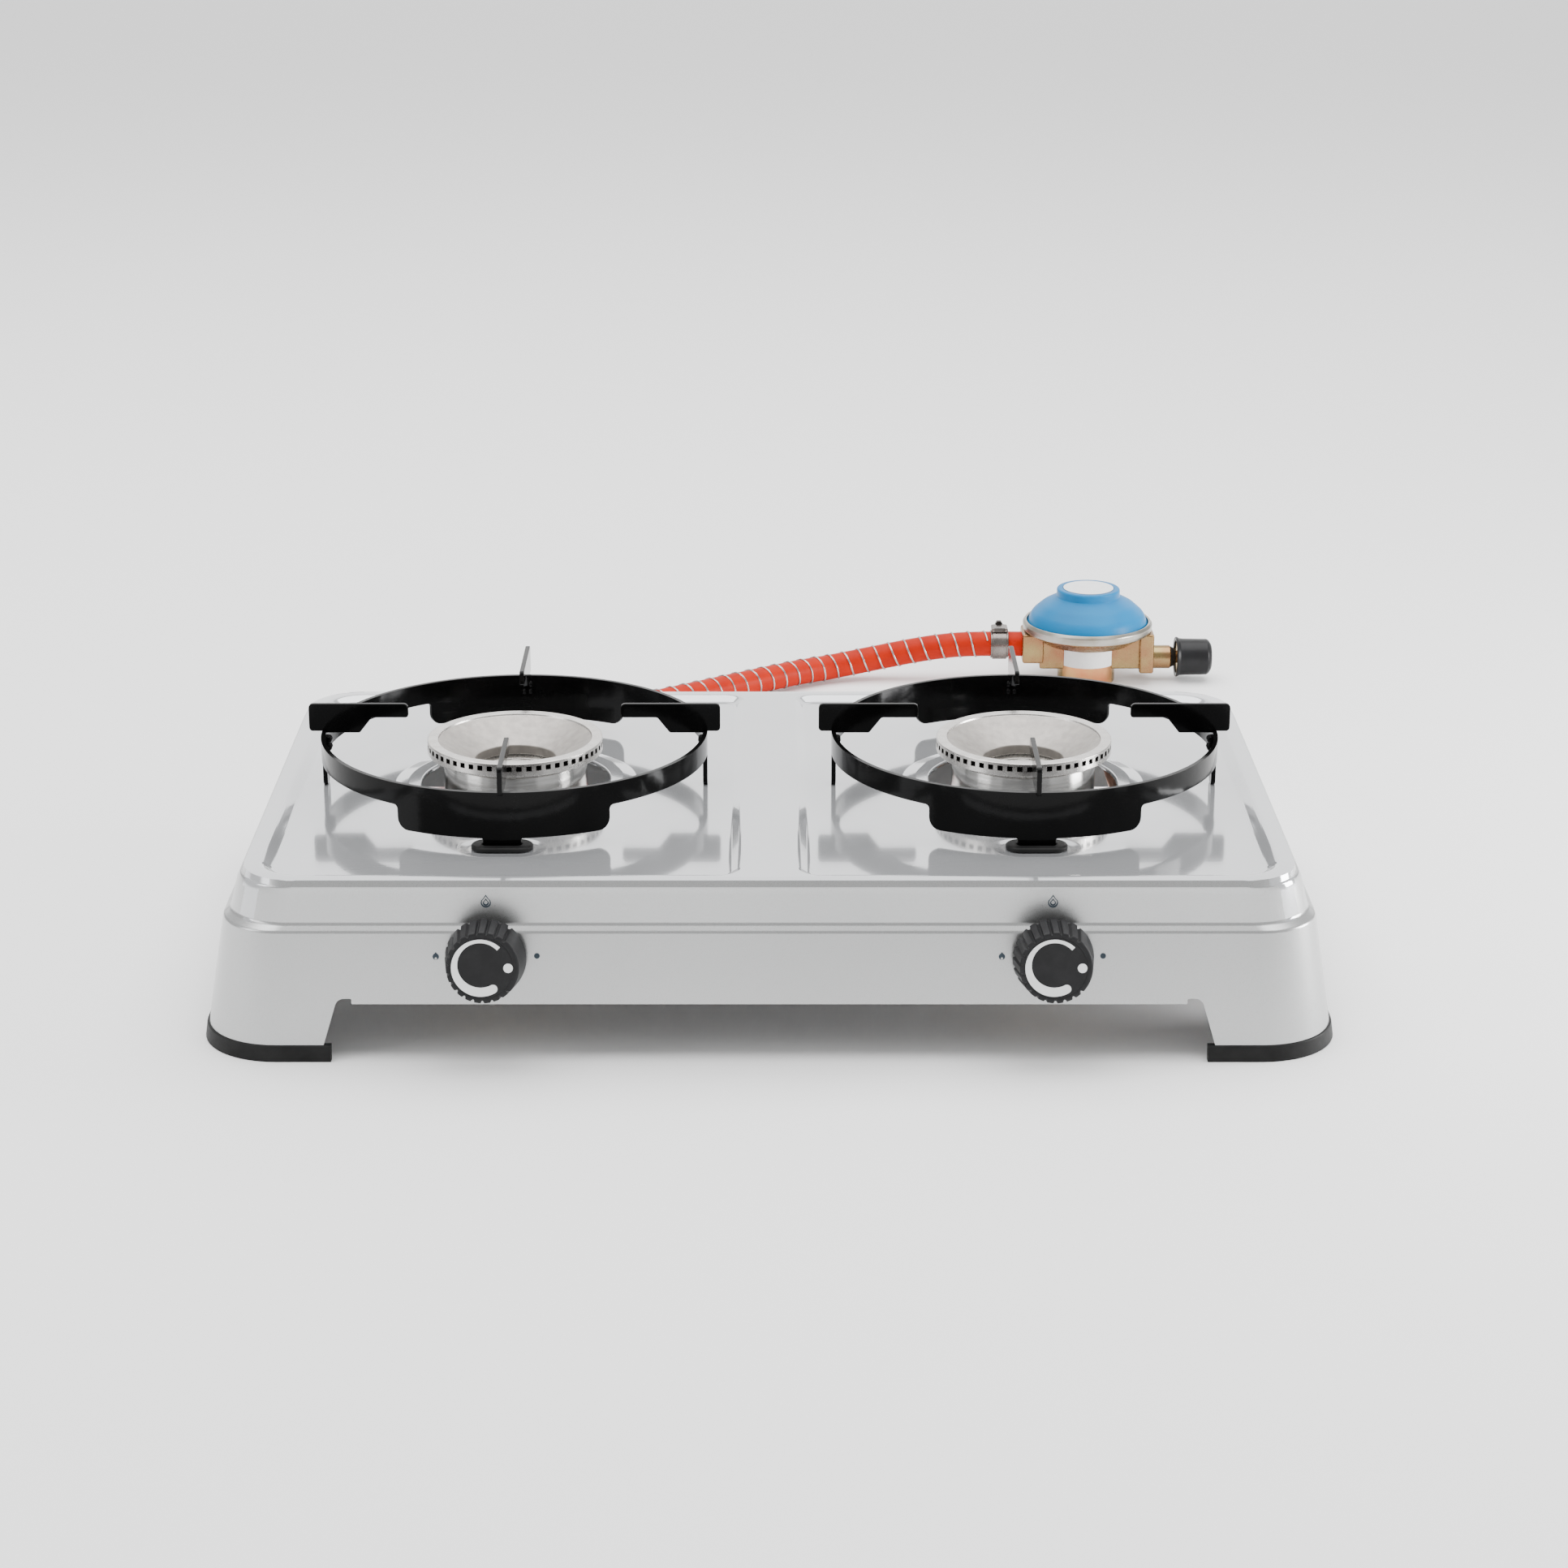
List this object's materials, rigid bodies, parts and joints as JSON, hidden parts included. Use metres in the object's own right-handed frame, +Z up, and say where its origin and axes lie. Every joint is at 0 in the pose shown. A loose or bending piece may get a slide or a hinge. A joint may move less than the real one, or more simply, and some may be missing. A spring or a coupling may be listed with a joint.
{
  "type": "camp stove",
  "caption": "Pressed-steel two-burner gas camp stove with lift-off pan supports, push-and-turn knobs, orange hose and domed pressure regulator.",
  "frame": {"origin": "middle of the stove's footprint, on the surface it stands on", "axes": "+X along the stove's width to the right seen from the knobs, -Y towards the knobs, +Z up"},
  "size_m": [0.49, 0.5972, 0.1116],
  "materials": {
    "hob_steel": "satin silver-grey enamel",
    "rubber": "matte black",
    "support_enamel": "semi-gloss black enamel",
    "burner_alloy": "cast, satin",
    "cup_steel": "bright",
    "fixing_steel": "zinc plated",
    "bracket_steel": "rolled",
    "brass": "machined",
    "copper_tube": "drawn copper",
    "knob_plastic": "fine-grained black",
    "white_print": "printed",
    "slate_print": "printed",
    "hose_rubber": "orange, slightly glossy",
    "clamp_steel": "bright",
    "regulator_zinc": "yellow passivated",
    "cap_plastic": "blue",
    "cap_vinyl": "soft black vinyl"
  },
  "bodies": {
    "stove": {"hob_shell": "hob_steel", "front_left_foot_trim": "rubber", "front_right_foot_trim": "rubber", "rear_left_foot_trim": "rubber", "rear_right_foot_trim": "rubber", "support_grommets": "rubber", "left_burner_head": "burner_alloy", "right_burner_head": "burner_alloy", "left_burner_base": "burner_alloy", "right_burner_base": "burner_alloy", "left_burner_cup": "cup_steel", "right_burner_cup": "cup_steel", "left_burner_bridge": "fixing_steel", "right_burner_bridge": "fixing_steel", "burner_screws": "fixing_steel", "burner_nuts": "fixing_steel", "left_burner_bracket": "bracket_steel", "right_burner_bracket": "bracket_steel", "left_mixing_tube": "bracket_steel", "right_mixing_tube": "bracket_steel", "gas_jets": "brass", "left_valve_body": "brass", "right_valve_body": "brass", "dial_marks": "slate_print", "gas_rail": "bracket_steel", "rail_brackets": "bracket_steel", "inlet_pipe": "copper_tube", "inlet_nozzle": "brass", "gas_hose": "hose_rubber", "stove_hose_clamp": "clamp_steel", "regulator_hose_clamp": "clamp_steel", "clamp_screws": "fixing_steel", "regulator_body": "regulator_zinc", "regulator_cap": "cap_plastic", "regulator_crimp": "clamp_steel", "regulator_diaphragm": "rubber", "regulator_spring": "fixing_steel", "regulator_labels": "white_print", "regulator_nozzle": "regulator_zinc", "inlet_seal": "rubber"},
    "left_plug": {"left_valve_plug": "brass", "left_valve_spring": "fixing_steel"},
    "left_knob": {"left_spindle": "fixing_steel", "left_knob": "knob_plastic", "left_knob_marks": "white_print"},
    "left_support": {"left_pan_ring": "support_enamel", "left_pan_fingers": "support_enamel"},
    "right_plug": {"right_valve_plug": "brass", "right_valve_spring": "fixing_steel"},
    "right_knob": {"right_spindle": "fixing_steel", "right_knob": "knob_plastic", "right_knob_marks": "white_print"},
    "right_support": {"right_pan_ring": "support_enamel", "right_pan_fingers": "support_enamel"},
    "union": {"union_nut": "brass"},
    "thread_cap": {"thread_cap": "cap_vinyl"}
  },
  "joints": [
    {"name": "left_valve_turn", "type": "hinge", "parent": "stove", "child": "left_plug", "pos_m": [-0.1175, -0.13758, 0.045], "axis": [0, -0.9909, 0.1348], "range_deg": [0, 180]},
    {"name": "left_knob_push", "type": "slide", "parent": "left_plug", "child": "left_knob", "axis": [0, 0.9909, -0.1348], "range_m": [0, 0.0025], "stiffness_N_per_m": 800, "springref_m": -0.002},
    {"name": "left_support_lift", "type": "slide", "parent": "stove", "child": "left_support", "axis": [0, 0, 1], "range_m": [0, 0.06]},
    {"name": "right_valve_turn", "type": "hinge", "parent": "stove", "child": "right_plug", "pos_m": [0.1175, -0.13758, 0.045], "axis": [0, -0.9909, 0.1348], "range_deg": [0, 180]},
    {"name": "right_knob_push", "type": "slide", "parent": "right_plug", "child": "right_knob", "axis": [0, 0.9909, -0.1348], "range_m": [0, 0.0025], "stiffness_N_per_m": 800, "springref_m": -0.002},
    {"name": "right_support_lift", "type": "slide", "parent": "stove", "child": "right_support", "axis": [0, 0, 1], "range_m": [0, 0.06]},
    {"name": "union_turn", "type": "hinge", "parent": "stove", "child": "union", "pos_m": [0.24, 0.4005, 0.0134], "axis": [1, 0, 0], "continuous": true},
    {"name": "thread_cap_off", "type": "slide", "parent": "union", "child": "thread_cap", "axis": [1, 0, 0], "range_m": [0, 0.025]}
  ]
}
